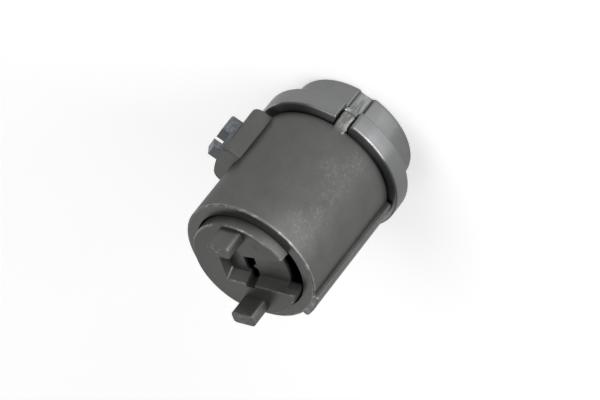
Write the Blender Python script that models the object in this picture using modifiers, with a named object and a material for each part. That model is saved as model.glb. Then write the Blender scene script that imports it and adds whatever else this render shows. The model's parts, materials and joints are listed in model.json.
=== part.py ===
"""Ignition lock cylinder, modelled as an assembly of separate pieces.

The lock axis is Z. The cylinder stands on the flat front rim of its cap, at Z = 0, with the drive
prongs on top. X runs along the drive pocket and Y along the height of the keyway. Angles are measured
about +Z from +X, so they run counterclockwise when the drive end is looked at. Lengths are in metres.
"""

import math

import bmesh
import bpy
from mathutils import Matrix, Vector

# Clearances
TOUCH_GAP = 0.0003
RUNNING_CLEARANCE = 0.0003
PIN_CLEARANCE = 0.0001

# Sizes that set the radii, from the lock axis outwards
BARREL_RADIUS = 0.0083
DRUM_STEP = 0.0011
STOP_ROOM = 0.0030
HOUSING_WALL = 0.0026
SHOULDER_WIDTH = 0.0034
CAP_COLLAR_RISE = 0.0020
CAP_STEP = 0.0033
BOSS_HEIGHT = 0.0034

# Front cap
CAP_FRONT_LENGTH = 0.0071
CAP_COLLAR_LENGTH = 0.0045
CAP_FRONT_WALL = 0.0024
CAP_LIP_ROUND = 0.0009
CAP_DISH_DEPTH = 0.0006
CAP_RIM_WIDTH = 0.0035
GROOVE_ANGLE = 59.0
GROOVE_WIDTH = 0.0033
GROOVE_COLLAR_DEPTH = 0.0020
GROOVE_FRONT_DEPTH = 0.0007

# Housing
HOUSING_LENGTH = 0.0287
SHOULDER_GAP = 0.0005
NECK_FRONT = 0.0044
REAR_BORE_DEPTH = 0.0078
HOUSING_CHAMFER = 0.0003
LUG_RISE = 0.0005
LUG_LENGTH = 0.0033
LUG_OVERLAP = 0.0012
RAIL_START = -50.5
RAIL_END = -23.5
RAIL_HEIGHT = 0.0011
RAIL_CHAMFER = 0.0004

# Latch boss on the housing
BOSS_ANGLE = 147.0
BOSS_HALF_WIDTH = 0.0055
BOSS_LENGTH = 0.0133
BOSS_SETBACK = 0.0006
BOSS_TAPER = 0.0003
BOSS_ROUND = 0.0020

# Latch
LATCH_SETBACK = 0.0038
LATCH_HALF_WIDTH = 0.0019
LATCH_RISE = 0.0030
LATCH_TOP_SLOPE = 7.0
LATCH_WAIST_RISE = 0.0008
LATCH_ROOT = 0.0044
LATCH_FRONT_TOOTH = 0.0041
LATCH_GAP = 0.0030
LATCH_REAR_TOOTH = 0.0016
LATCH_RAMP_DROP = 0.0009
LATCH_EAR_HEIGHT = 0.0014
LATCH_FRONT_EAR = 0.0012
LATCH_REAR_EAR = 0.0005
LATCH_TRAVEL = 0.0026
LATCH_POCKET_MARGIN = 0.0005
LATCH_SPRING_HOLE_RADIUS = 0.0011
LATCH_SPRING_HOLE_DEPTH = 0.0038
LATCH_SPRING_WIRE_RADIUS = 0.00014
LATCH_SPRING_TURNS = 7

# Rotor
FLANGE_DEPTH = 0.0032
LAND_HEIGHT = 0.0025
FLANGE_CHAMFER = 0.0003
STOP_LUG_SPAN = 142.0
STOP_LUG_START = -177.0
STOP_PLAY = 1.5
KEY_TURN = 115.0
BARREL_FRONT = 0.0023
PRONG_LENGTH = 0.0049
PRONG_WIDTH = 0.0054
PRONG_THICKNESS = 0.0029
PRONG_ROUND = 0.0008
PRONG_CHAMFER = 0.0003
PRONG_INSET = 0.0026

# Drive pocket, cut between the two lands of the rotor
POCKET_LEFT = 0.0054
POCKET_LOWER = 0.0033
POCKET_LOWER_DRAFT = 0.0010
POCKET_UPPER = 0.0039
POCKET_UPPER_SLOPE = 7.0
POCKET_STEP_X = 0.0005
POCKET_STEP = 0.0014
POCKET_ROUND = 0.0010

# Keyway
KEYWAY_HALF_WIDTH = 0.0014
KEYWAY_TOP = 0.0039
KEYWAY_BOTTOM = 0.0050
WARD_DEPTH = 0.0008
WARD_TOP = 0.0005
WARD_HEIGHT = 0.0013
FOOT_TOP = 0.0026
FOOT_SHIFT = 0.0006

# Wafers
WAFER_COUNT = 8
WAFER_START = 0.0096
WAFER_PITCH = 0.0024
WAFER_THICKNESS = 0.0011
WAFER_HALF_WIDTH = 0.0030
WAFER_WINDOW_HALF_WIDTH = 0.0019
WAFER_WINDOW_HALF_HEIGHT = 0.0048
WAFER_EAR_REACH = 0.0017
WAFER_EAR_TOP = 0.0043
WAFER_EAR_HEIGHT = 0.0013
WAFER_CUTS = (0.2, -0.4, 0.6, 0.0, -0.6, 0.4, -0.2, 0.6)
WAFER_CUT_STEP = 0.0005
WAFER_CHANNEL_DEPTH = 0.0014
WAFER_SPRING_FOOT = 0.0022
WAFER_SPRING_WIRE_RADIUS = 0.00011
WAFER_SPRING_RADIUS = 0.00045
WAFER_SPRING_TURNS = 3

# Front end of the rotor
FACE_THICKNESS = 0.0008
FACE_SKIRT_WALL = 0.0005
KEY_SLOT_WIDTH = 0.0029
KEY_SLOT_HEIGHT = 0.0091
SHUTTER_THICKNESS = 0.0005
SHUTTER_OVERLAP = 0.0005
SHUTTER_INSET = 0.0033
SHUTTER_KNUCKLE_RADIUS = 0.0009
SHUTTER_SPRING_ROOM = 0.0016
SHUTTER_PIN_RADIUS = 0.0004
SHUTTER_PIN_HOLD = 0.0011
SHUTTER_SPRING_WIRE_RADIUS = 0.00011
SHUTTER_SPRING_TURNS = 4
RING_THICKNESS = 0.0008
RING_REACH = 0.0013
RING_SEAT_DEPTH = 0.0011
RING_OPENING = 60.0

# Roundness
LARGE_STEPS = 64
SMALL_STEPS = 40
PIN_STEPS = 16
COIL_POINTS_PER_TURN = 7
BEYOND = 0.0040
MERGE = 0.00001

# Stations along the axis
COLLAR_REAR = CAP_FRONT_LENGTH + CAP_COLLAR_LENGTH
SHOULDER = COLLAR_REAR + SHOULDER_GAP
HOUSING_REAR = SHOULDER + HOUSING_LENGTH
REAR_BORE_FLOOR = HOUSING_REAR - REAR_BORE_DEPTH
LAND = HOUSING_REAR + LAND_HEIGHT
FLANGE_FRONT = HOUSING_REAR - FLANGE_DEPTH
PRONG_END = LAND + PRONG_LENGTH
LATCH_FRONT = COLLAR_REAR + LATCH_SETBACK
LATCH_REAR = LATCH_FRONT + LATCH_FRONT_TOOTH + LATCH_GAP + LATCH_REAR_TOOTH
BOSS_FRONT = SHOULDER + BOSS_SETBACK
BOSS_REAR = SHOULDER + BOSS_LENGTH

# Radii that follow from the sizes and the fits
BARREL_BORE_RADIUS = BARREL_RADIUS + RUNNING_CLEARANCE
DRUM_RADIUS = BARREL_RADIUS + DRUM_STEP
REAR_BORE_RADIUS = DRUM_RADIUS + STOP_ROOM
FLANGE_RADIUS = REAR_BORE_RADIUS - RUNNING_CLEARANCE
PRONG_HEIGHT = FLANGE_RADIUS - PRONG_INSET
HOUSING_RADIUS = REAR_BORE_RADIUS + HOUSING_WALL
NECK_RADIUS = HOUSING_RADIUS - SHOULDER_WIDTH
BOSS_RADIUS = HOUSING_RADIUS + BOSS_HEIGHT
LATCH_TOP_RADIUS = BOSS_RADIUS + LATCH_RISE
LATCH_WAIST_RADIUS = BOSS_RADIUS + LATCH_WAIST_RISE
LATCH_BASE_RADIUS = BOSS_RADIUS - LATCH_ROOT
CAP_COLLAR_RADIUS = HOUSING_RADIUS + CAP_COLLAR_RISE
CAP_FRONT_RADIUS = CAP_COLLAR_RADIUS - CAP_STEP
CAP_DISH_RADIUS = CAP_FRONT_RADIUS - CAP_RIM_WIDTH
CAP_BORE_RADIUS = NECK_RADIUS + TOUCH_GAP
CAP_HOLE_RADIUS = BARREL_RADIUS + TOUCH_GAP
SHUTTER_HALF_HEIGHT = BARREL_RADIUS - SHUTTER_INSET
SHUTTER_KNUCKLE_LENGTH = SHUTTER_HALF_HEIGHT - SHUTTER_SPRING_ROOM
WAFER_CHANNEL_RADIUS = BARREL_BORE_RADIUS + WAFER_CHANNEL_DEPTH
GROOVE_COLLAR_FLOOR = CAP_COLLAR_RADIUS - GROOVE_COLLAR_DEPTH
GROOVE_FRONT_FLOOR = CAP_FRONT_RADIUS - GROOVE_FRONT_DEPTH
STOP_RIB_SPAN = 360.0 - STOP_LUG_SPAN - KEY_TURN - 2.0 * STOP_PLAY
STOP_RIB_END = STOP_LUG_START - STOP_PLAY
WAFER_REACH = BARREL_RADIUS - TOUCH_GAP
WAFER_SLOT_HALF_WIDTH = WAFER_HALF_WIDTH + TOUCH_GAP
WAFER_SLOT_THICKNESS = WAFER_THICKNESS + 2.0 * TOUCH_GAP
WAFER_SPRING_X = WAFER_HALF_WIDTH + WAFER_EAR_REACH / 2.0 + TOUCH_GAP / 2.0

MODEL_NAME = "ignition_lock_cylinder"


def empty_scene():
    """Remove every object, so that the model starts from nothing."""
    for item in list(bpy.data.objects):
        bpy.data.objects.remove(item, do_unlink=True)


def new_collection(name):
    """Return a new collection in the scene."""
    group = bpy.data.collections.new(name)
    bpy.context.scene.collection.children.link(group)
    return group


empty_scene()
PARTS = new_collection(MODEL_NAME)
CUTTERS = new_collection("cutters")


def surface(name, colour, roughness, metallic):
    """Return a Principled material with one colour."""
    made = bpy.data.materials.new(name)
    made.use_nodes = True
    shader = made.node_tree.nodes["Principled BSDF"]
    shader.inputs["Base Color"].default_value = (*colour, 1.0)
    shader.inputs["Roughness"].default_value = roughness
    shader.inputs["Metallic"].default_value = metallic
    return made


def as_part(item, material):
    """File an object as a piece of the lock, with its material."""
    for group in list(item.users_collection):
        group.objects.unlink(item)
    PARTS.objects.link(item)
    item.data.materials.clear()
    item.data.materials.append(material)
    return item


def as_tool(item):
    """File an object as a guide that only cuts or joins."""
    for group in list(item.users_collection):
        group.objects.unlink(item)
    CUTTERS.objects.link(item)
    item.hide_render = True
    item.display_type = "WIRE"
    return item


def object_from(name, shape):
    """Turn a bmesh into an object of the scene."""
    mesh = bpy.data.meshes.new(name)
    shape.to_mesh(mesh)
    shape.free()
    item = bpy.data.objects.new(name, mesh)
    bpy.context.scene.collection.objects.link(item)
    return item


def box(name, x_range, y_range, z_range):
    """Return a box between the given limits."""
    shape = bmesh.new()
    bmesh.ops.create_cube(shape, size=1.0)
    low = Vector((x_range[0], y_range[0], z_range[0]))
    high = Vector((x_range[1], y_range[1], z_range[1]))
    size = high - low
    bmesh.ops.scale(shape, vec=size, verts=shape.verts)
    bmesh.ops.translate(shape, vec=(low + high) / 2.0, verts=shape.verts)
    return object_from(name, shape)


def rod(name, radius, length, steps):
    """Return a cylinder along Z, centred on the origin."""
    shape = bmesh.new()
    bmesh.ops.create_cone(
        shape, cap_ends=True, segments=steps, radius1=radius, radius2=radius, depth=length
    )
    return object_from(name, shape)


def turned(name, profile, steps):
    """Revolve a profile of (radius, height) points, outer side from top to bottom, about Z."""
    on_axis = profile[0][0] == 0.0
    shape = bmesh.new()
    points = [shape.verts.new((radius, 0.0, height)) for radius, height in profile]
    for first, second in zip(points, points[1:]):
        shape.edges.new((first, second))
    if not on_axis:
        shape.edges.new((points[-1], points[0]))
    item = object_from(name, shape)
    screw = item.modifiers.new("revolve", "SCREW")
    screw.axis = "Z"
    screw.angle = math.radians(360.0)
    screw.steps = steps
    screw.render_steps = steps
    screw.use_merge_vertices = True
    screw.merge_threshold = MERGE
    return item


def plate(name, outlines, low, high):
    """Extrude closed outlines, the first one outside and the rest as holes, from low to high."""
    curve = bpy.data.curves.new(name, "CURVE")
    curve.dimensions = "2D"
    curve.fill_mode = "BOTH"
    curve.extrude = (high - low) / 2.0
    for outline in outlines:
        spline = curve.splines.new("POLY")
        spline.points.add(len(outline) - 1)
        for point, (x, y) in zip(spline.points, outline):
            point.co = (x, y, 0.0, 1.0)
        spline.use_cyclic_u = True
    return mesh_from_curve(name, curve, Matrix.Translation((0.0, 0.0, (low + high) / 2.0)))


def mesh_from_curve(name, curve, placing):
    """Replace a curve by a mesh with its caps welded, moved by a matrix."""
    source = bpy.data.objects.new(name + "_curve", curve)
    bpy.context.scene.collection.objects.link(source)
    bpy.context.view_layer.update()
    settled = source.evaluated_get(bpy.context.evaluated_depsgraph_get())
    mesh = bpy.data.meshes.new_from_object(settled)
    bpy.data.objects.remove(source, do_unlink=True)
    shape = bmesh.new()
    shape.from_mesh(mesh)
    bmesh.ops.remove_doubles(shape, verts=shape.verts, dist=MERGE)
    bmesh.ops.recalc_face_normals(shape, faces=shape.faces)
    bmesh.ops.transform(shape, matrix=placing, verts=shape.verts)
    bpy.data.meshes.remove(mesh)
    return object_from(name, shape)


def coil(name, radius, wire_radius, length, turns):
    """Return a coil spring along Z, centred on the origin, with closed end turns."""
    closed_turns = 1.0
    count = int(round((turns + 2.0 * closed_turns) * COIL_POINTS_PER_TURN)) + 1
    end_rise = 2.4 * wire_radius
    curve = bpy.data.curves.new(name, "CURVE")
    curve.dimensions = "3D"
    curve.bevel_depth = wire_radius
    curve.bevel_resolution = 1
    curve.use_fill_caps = True
    spline = curve.splines.new("POLY")
    spline.points.add(count - 1)
    bottom = wire_radius - length / 2.0
    top = length / 2.0 - wire_radius
    for index, point in enumerate(spline.points):
        turn = index / COIL_POINTS_PER_TURN
        angle = 2.0 * math.pi * turn
        if turn <= closed_turns:
            height = bottom + end_rise * turn / closed_turns
        elif turn >= closed_turns + turns:
            height = top - end_rise * (2.0 * closed_turns + turns - turn) / closed_turns
        else:
            share = (turn - closed_turns) / turns
            height = bottom + end_rise + (top - bottom - 2.0 * end_rise) * share
        point.co = (radius * math.cos(angle), radius * math.sin(angle), height, 1.0)
    return mesh_from_curve(name, curve, Matrix.Identity(4))


def arc(radius, start, end, steps, centre=(0.0, 0.0)):
    """Return points on a circle from one angle to another, in degrees."""
    points = []
    for index in range(steps + 1):
        angle = math.radians(start + (end - start) * index / steps)
        points.append((centre[0] + radius * math.cos(angle), centre[1] + radius * math.sin(angle)))
    return points


def rounded(points, radius, steps=3):
    """Return a closed outline with each corner replaced by an arc that touches both sides."""
    result = []
    count = len(points)
    for index in range(count):
        corner = Vector(points[index])
        to_last = Vector(points[index - 1]) - corner
        to_next = Vector(points[(index + 1) % count]) - corner
        half = to_last.angle(to_next) / 2.0
        reach = min(radius / math.tan(half), 0.45 * to_last.length, 0.45 * to_next.length)
        fitted = reach * math.tan(half)
        inward = (to_last.normalized() + to_next.normalized()).normalized()
        centre = corner + inward * (fitted / math.sin(half))
        first = corner + to_last.normalized() * reach - centre
        last = corner + to_next.normalized() * reach - centre
        swing = first.angle_signed(last)
        for step in range(steps + 1):
            turn = Matrix.Rotation(-swing * step / steps, 2)
            result.append(tuple(centre + turn @ first))
    return result


def modify(target, tool, operation):
    """Add a Boolean that joins a tool to the target, cuts it away or keeps what they share."""
    step = target.modifiers.new(operation.lower() + "_" + tool.name, "BOOLEAN")
    step.operation = operation
    step.solver = "EXACT"
    step.object = tool
    return target


def cut(target, tool):
    """Cut a tool away from the target."""
    return modify(target, as_tool(tool), "DIFFERENCE")


def join(target, tool):
    """Join a tool to the target as one solid."""
    return modify(target, as_tool(tool), "UNION")


def soften(item, width, limit=40.0):
    """Chamfer the sharp edges of a tool or part by a small width."""
    step = item.modifiers.new("soften", "BEVEL")
    step.width = width
    step.segments = 1
    step.limit_method = "ANGLE"
    step.angle_limit = math.radians(limit)
    return item


def radial_placing(angle):
    """Return the matrix that takes X to the radius at an angle, Y to the lock axis and Z across."""
    turn = math.radians(angle)
    outward = Vector((math.cos(turn), math.sin(turn), 0.0))
    along = Vector((0.0, 0.0, 1.0))
    across = outward.cross(along)
    return Matrix((outward, along, across)).transposed().to_4x4()


def turned_about_z(item, angle):
    """Turn an object about the lock axis."""
    item.rotation_euler = (0.0, 0.0, math.radians(angle))
    return item


def sector(name, inner, outer, start, end, low, high):
    """Return a ring sector between two radii, two angles and two heights."""
    steps = max(2, int(round(abs(end - start) / 360.0 * LARGE_STEPS)))
    outline = arc(outer, start, end, steps) + arc(inner, end, start, steps)
    return plate(name, [outline], low, high)


def build_housing(material):
    """Build the die cast housing with its boss, rail and lug, and the bores for the rotor."""
    profile = [
        (REAR_BORE_RADIUS, HOUSING_REAR),
        (HOUSING_RADIUS - HOUSING_CHAMFER, HOUSING_REAR),
        (HOUSING_RADIUS, HOUSING_REAR - HOUSING_CHAMFER),
        (HOUSING_RADIUS, SHOULDER + HOUSING_CHAMFER),
        (HOUSING_RADIUS - HOUSING_CHAMFER, SHOULDER),
        (NECK_RADIUS, SHOULDER),
        (NECK_RADIUS, NECK_FRONT + HOUSING_CHAMFER),
        (NECK_RADIUS - HOUSING_CHAMFER, NECK_FRONT),
        (BARREL_BORE_RADIUS, NECK_FRONT),
        (BARREL_BORE_RADIUS, REAR_BORE_FLOOR),
        (REAR_BORE_RADIUS, REAR_BORE_FLOOR),
    ]
    housing = as_part(turned("housing", profile, LARGE_STEPS), material)
    join(housing, build_boss())
    join(housing, build_rail())
    join(housing, build_lug())
    rib_start = STOP_RIB_END - STOP_RIB_SPAN
    rib_root = REAR_BORE_RADIUS + RUNNING_CLEARANCE
    rib_face = DRUM_RADIUS + RUNNING_CLEARANCE
    rib_low = REAR_BORE_FLOOR - TOUCH_GAP
    rib_high = FLANGE_FRONT - RUNNING_CLEARANCE
    rib = sector("stop_rib", rib_face, rib_root, rib_start, STOP_RIB_END, rib_low, rib_high)
    join(housing, rib)
    cut(housing, build_latch_pocket())
    wafer_rear = WAFER_START + WAFER_COUNT * WAFER_PITCH + TOUCH_GAP
    for side in (-1, 1):
        near, far = sorted((0.0, side * WAFER_CHANNEL_RADIUS))
        channel = box(
            "wafer_channel_upper" if side > 0 else "wafer_channel_lower",
            (-WAFER_SLOT_HALF_WIDTH, WAFER_SLOT_HALF_WIDTH),
            (near, far),
            (NECK_FRONT - BEYOND, wafer_rear),
        )
        cut(housing, channel)
    return housing


def build_boss():
    """Build the wide pad that carries the latch: flat sides, and a back that tapers to the rear."""
    root = REAR_BORE_RADIUS + RUNNING_CLEARANCE
    side = BOSS_HALF_WIDTH - BOSS_ROUND
    reach = BOSS_RADIUS - BOSS_ROUND
    depth = math.sqrt(reach * reach - side * side)
    lean = math.degrees(math.atan2(side, depth))
    outline = [(root, -BOSS_HALF_WIDTH)]
    outline += arc(BOSS_ROUND, -90.0, -lean, 4, (depth, -side))
    outline += arc(BOSS_RADIUS, -lean, lean, 4)[1:-1]
    outline += arc(BOSS_ROUND, lean, 90.0, 4, (depth, side))
    outline.append((root, BOSS_HALF_WIDTH))
    block = turned_about_z(plate("boss", [outline], BOSS_FRONT, BOSS_REAR), BOSS_ANGLE)
    for corner in block.data.vertices:
        if corner.co.z < (BOSS_FRONT + BOSS_REAR) / 2.0 and corner.co.x > HOUSING_RADIUS:
            corner.co.x += BOSS_TAPER
    return soften(block, HOUSING_CHAMFER)


def build_rail():
    """Build the raised rail that keys the housing in the steering lock."""
    root = REAR_BORE_RADIUS + RUNNING_CLEARANCE
    top = HOUSING_RADIUS + RAIL_HEIGHT
    drop = math.degrees(RAIL_CHAMFER / HOUSING_RADIUS)
    outline = [arc(root, RAIL_START, RAIL_START, 1)[0]]
    outline.append(arc(top - RAIL_CHAMFER, RAIL_START, RAIL_START, 1)[0])
    outline += arc(top, RAIL_START + drop, RAIL_END - drop, 5)
    outline.append(arc(top - RAIL_CHAMFER, RAIL_END, RAIL_END, 1)[0])
    outline += arc(root, RAIL_END, RAIL_START, 5)[:-1]
    return plate("rail", [outline], SHOULDER, HOUSING_REAR)


def build_lug():
    """Build the lug that reaches into the groove of the cap and keys it."""
    half = GROOVE_WIDTH / 2.0 - TOUCH_GAP
    root = NECK_RADIUS - HOUSING_CHAMFER
    top = GROOVE_COLLAR_FLOOR + LUG_RISE
    front = SHOULDER - SHOULDER_GAP - LUG_LENGTH + TOUCH_GAP
    lug = box("cap_lug", (root, top), (front, SHOULDER + LUG_OVERLAP), (-half, half))
    lug.matrix_world = radial_placing(GROOVE_ANGLE)
    return soften(lug, HOUSING_CHAMFER)


def build_latch_pocket():
    """Build the cutter for the latch pocket: a mouth, and an undercut for the ears of the latch."""
    floor = LATCH_BASE_RADIUS - LATCH_TRAVEL - LATCH_POCKET_MARGIN
    lip = LATCH_BASE_RADIUS + LATCH_EAR_HEIGHT + TOUCH_GAP
    outer = BOSS_RADIUS + BEYOND
    mouth_front = LATCH_FRONT - TOUCH_GAP
    mouth_rear = LATCH_REAR + TOUCH_GAP
    outline = [
        (floor, mouth_front - LATCH_FRONT_EAR),
        (lip, mouth_front - LATCH_FRONT_EAR),
        (lip, mouth_front),
        (outer, mouth_front),
        (outer, mouth_rear),
        (lip, mouth_rear),
        (lip, mouth_rear + LATCH_REAR_EAR),
        (floor, mouth_rear + LATCH_REAR_EAR),
    ]
    half = LATCH_HALF_WIDTH + TOUCH_GAP
    pocket = plate("latch_pocket", [outline], -half, half)
    pocket.matrix_world = radial_placing(BOSS_ANGLE)
    return pocket


def build_latch(material):
    """Build the latch block, with sloping tops on its two teeth and ears that keep it in the boss."""
    middle = LATCH_FRONT + LATCH_FRONT_TOOTH + LATCH_GAP / 2.0
    front = LATCH_FRONT - middle
    rear = LATCH_REAR - middle
    gap_front = front + LATCH_FRONT_TOOTH
    gap_rear = gap_front + LATCH_GAP
    base = LATCH_BASE_RADIUS
    ear = base + LATCH_EAR_HEIGHT
    outline = [
        (base, front - LATCH_FRONT_EAR),
        (ear, front - LATCH_FRONT_EAR),
        (ear, front),
        (LATCH_TOP_RADIUS - PRONG_CHAMFER, front),
        (LATCH_TOP_RADIUS, front + PRONG_CHAMFER),
        (LATCH_TOP_RADIUS, gap_front),
        (LATCH_WAIST_RADIUS, gap_front),
        (LATCH_WAIST_RADIUS, gap_rear),
        (LATCH_TOP_RADIUS, gap_rear),
        (LATCH_TOP_RADIUS - LATCH_RAMP_DROP, rear),
        (ear, rear),
        (ear, rear + LATCH_REAR_EAR),
        (base, rear + LATCH_REAR_EAR),
    ]
    latch = plate("locking_latch", [outline], -LATCH_HALF_WIDTH, LATCH_HALF_WIDTH)
    for corner in latch.data.vertices:
        if corner.co.x > LATCH_WAIST_RADIUS + MERGE:
            corner.co.x -= corner.co.z * math.tan(math.radians(LATCH_TOP_SLOPE))
    placing = radial_placing(BOSS_ANGLE)
    placing.translation = Vector((0.0, 0.0, middle))
    latch.matrix_world = placing
    hole = rod("latch_spring_hole", LATCH_SPRING_HOLE_RADIUS, 2.0 * LATCH_SPRING_HOLE_DEPTH, PIN_STEPS)
    across = Matrix.Rotation(math.radians(90.0), 4, "Y")
    hole.matrix_world = placing @ Matrix.Translation((base, 0.0, 0.0)) @ across
    cut(as_part(latch, material), hole)
    return latch


def build_latch_spring(material):
    """Build the coil spring between the floor of the pocket and the latch."""
    floor = LATCH_BASE_RADIUS - LATCH_TRAVEL - LATCH_POCKET_MARGIN + TOUCH_GAP
    top = LATCH_BASE_RADIUS + LATCH_SPRING_HOLE_DEPTH - TOUCH_GAP
    radius = LATCH_SPRING_HOLE_RADIUS - LATCH_SPRING_WIRE_RADIUS - PIN_CLEARANCE
    middle = LATCH_FRONT + LATCH_FRONT_TOOTH + LATCH_GAP / 2.0
    spring = coil("latch_spring", radius, LATCH_SPRING_WIRE_RADIUS, top - floor, LATCH_SPRING_TURNS)
    placing = radial_placing(BOSS_ANGLE)
    placing.translation = Vector((0.0, 0.0, middle))
    across = Matrix.Rotation(math.radians(90.0), 4, "Y")
    spring.matrix_world = placing @ Matrix.Translation(((floor + top) / 2.0, 0.0, 0.0)) @ across
    return as_part(spring, material)


def build_cap(material):
    """Build the front cap: a narrow tier, a wide collar with a rounded lip, and one groove."""
    lip = (CAP_COLLAR_RADIUS - CAP_LIP_ROUND, COLLAR_REAR - CAP_LIP_ROUND)
    rim = (CAP_FRONT_RADIUS - CAP_LIP_ROUND, CAP_LIP_ROUND)
    step = CAP_LIP_ROUND / 3.0
    profile = [(CAP_BORE_RADIUS, COLLAR_REAR)]
    profile += arc(CAP_LIP_ROUND, 90.0, 0.0, 4, lip)
    profile += [
        (CAP_COLLAR_RADIUS, CAP_FRONT_LENGTH + step),
        (CAP_COLLAR_RADIUS - step, CAP_FRONT_LENGTH),
        (CAP_FRONT_RADIUS, CAP_FRONT_LENGTH),
    ]
    profile += arc(CAP_LIP_ROUND, 0.0, -90.0, 4, rim)
    profile += [
        (CAP_DISH_RADIUS, 0.0),
        (CAP_DISH_RADIUS - CAP_DISH_DEPTH, CAP_DISH_DEPTH),
        (CAP_HOLE_RADIUS, CAP_DISH_DEPTH),
        (CAP_HOLE_RADIUS, CAP_FRONT_WALL),
        (CAP_BORE_RADIUS, CAP_FRONT_WALL),
    ]
    cap = as_part(turned("front_cap", profile, LARGE_STEPS), material)
    half = GROOVE_WIDTH / 2.0
    outer = CAP_COLLAR_RADIUS + BEYOND
    outline = [
        (GROOVE_FRONT_FLOOR, -BEYOND),
        (outer, -BEYOND),
        (outer, COLLAR_REAR + BEYOND),
        (NECK_RADIUS, COLLAR_REAR + BEYOND),
        (NECK_RADIUS, COLLAR_REAR - LUG_LENGTH),
        (GROOVE_COLLAR_FLOOR, COLLAR_REAR - LUG_LENGTH),
        (GROOVE_COLLAR_FLOOR, CAP_FRONT_LENGTH - TOUCH_GAP),
        (GROOVE_FRONT_FLOOR, CAP_FRONT_LENGTH - TOUCH_GAP),
    ]
    groove = plate("cap_groove", [outline], -half, half)
    groove.matrix_world = radial_placing(GROOVE_ANGLE)
    return cut(cap, groove)


def pocket_upper(x):
    """Return the height of the upper wall of the drive pocket at a place along it."""
    return POCKET_UPPER + x * math.tan(math.radians(POCKET_UPPER_SLOPE))


def build_drive_pocket():
    """Build the cutter for the pocket between the lands, open towards +X, its lower wall leaning."""
    outer = FLANGE_RADIUS + BEYOND
    step_top = pocket_upper(0.0) + POCKET_STEP
    corners = [
        (-POCKET_LEFT, -POCKET_LOWER),
        (outer, -POCKET_LOWER),
        (outer, pocket_upper(outer)),
        (POCKET_STEP_X, pocket_upper(POCKET_STEP_X)),
        (POCKET_STEP_X, step_top),
        (-POCKET_LEFT + POCKET_ROUND, step_top),
        (-POCKET_LEFT, step_top - POCKET_STEP - POCKET_ROUND),
    ]
    outline = rounded(corners, POCKET_ROUND / 2.0, 2)
    pocket = plate("drive_pocket", [outline], HOUSING_REAR, PRONG_END + BEYOND)
    lean = POCKET_LOWER_DRAFT / LAND_HEIGHT
    for corner in pocket.data.vertices:
        if corner.co.y < -POCKET_LOWER / 2.0:
            corner.co.y -= (corner.co.z - HOUSING_REAR) * lean
    return pocket


def build_rim_notch():
    """Build the cutter for the open side of the pocket, which runs right through the flange."""
    low = -POCKET_LOWER - POCKET_LOWER_DRAFT / 2.0
    reach = math.sqrt(DRUM_RADIUS * DRUM_RADIUS - low * low)
    outer = FLANGE_RADIUS + BEYOND
    start = math.degrees(math.atan2(low, reach))
    end = math.degrees(math.atan2(pocket_upper(reach), reach))
    outline = arc(DRUM_RADIUS, end, start, 8)
    outline += [(outer, low), (outer, pocket_upper(outer))]
    return plate("rim_notch", [outline], REAR_BORE_FLOOR, PRONG_END + BEYOND)


def keyway_outline():
    """Return the outline of the keyway, with a ward on the right and a narrower foot."""
    half = KEYWAY_HALF_WIDTH
    ward_low = -WARD_TOP - WARD_HEIGHT
    right_in = half - WARD_DEPTH
    return [
        (-half, KEYWAY_TOP),
        (-half, -FOOT_TOP),
        (-half + FOOT_SHIFT, -FOOT_TOP - FOOT_SHIFT),
        (-half + FOOT_SHIFT, -KEYWAY_BOTTOM),
        (half, -KEYWAY_BOTTOM),
        (half, ward_low),
        (right_in, ward_low + WARD_HEIGHT / 3.0),
        (right_in, -WARD_TOP - WARD_HEIGHT / 3.0),
        (half, -WARD_TOP),
        (half, KEYWAY_TOP),
    ]


def build_prong(name, height):
    """Build one drive prong, rounded at its corners and chamfered at its end."""
    half_width = PRONG_WIDTH / 2.0
    half_thick = PRONG_THICKNESS / 2.0
    corners = [
        (-half_width, height - half_thick),
        (half_width, height - half_thick),
        (half_width, height + half_thick),
        (-half_width, height + half_thick),
    ]
    root = LAND - LAND_HEIGHT / 2.0
    prong = plate(name, [rounded(corners, PRONG_ROUND)], root, PRONG_END)
    return soften(prong, PRONG_CHAMFER, 60.0)


def wafer_middle(index):
    """Return the height of the middle of one wafer."""
    return WAFER_START + index * WAFER_PITCH + WAFER_THICKNESS / 2.0


def build_wafer_slot(index):
    """Build the cutter for one wafer slot with the spring pocket beside it."""
    reach = BARREL_RADIUS + TOUCH_GAP / 2.0
    half = WAFER_SLOT_HALF_WIDTH
    pocket = WAFER_HALF_WIDTH + WAFER_EAR_REACH + TOUCH_GAP
    outline = [
        (-half, -reach),
        (half, -reach),
        (half, -WAFER_SPRING_FOOT),
        (pocket, -WAFER_SPRING_FOOT),
        (pocket, reach),
        (-half, reach),
    ]
    low = wafer_middle(index) - WAFER_SLOT_THICKNESS / 2.0
    slot = plate("wafer_slot_%d" % (index + 1), [outline], low, low + WAFER_SLOT_THICKNESS)
    return turned_about_z(slot, 180.0 * (index % 2))


def shutter_axis():
    """Return the place of the shutter's hinge across the rotor and along the axis."""
    knuckle = SHUTTER_KNUCKLE_RADIUS
    across = -(KEY_SLOT_WIDTH / 2.0 + knuckle - SHUTTER_THICKNESS / 2.0)
    return across, BARREL_FRONT + knuckle


def build_shutter_room():
    """Build the cutter for the room in which the shutter folds back."""
    across, along = shutter_axis()
    tip = KEY_SLOT_WIDTH / 2.0 + SHUTTER_OVERLAP
    half = SHUTTER_HALF_HEIGHT + TOUCH_GAP
    return box(
        "shutter_room",
        (across - SHUTTER_KNUCKLE_RADIUS - TOUCH_GAP, tip + TOUCH_GAP),
        (-half, half),
        (BARREL_FRONT - BEYOND, along + tip - across + TOUCH_GAP),
    )


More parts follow.
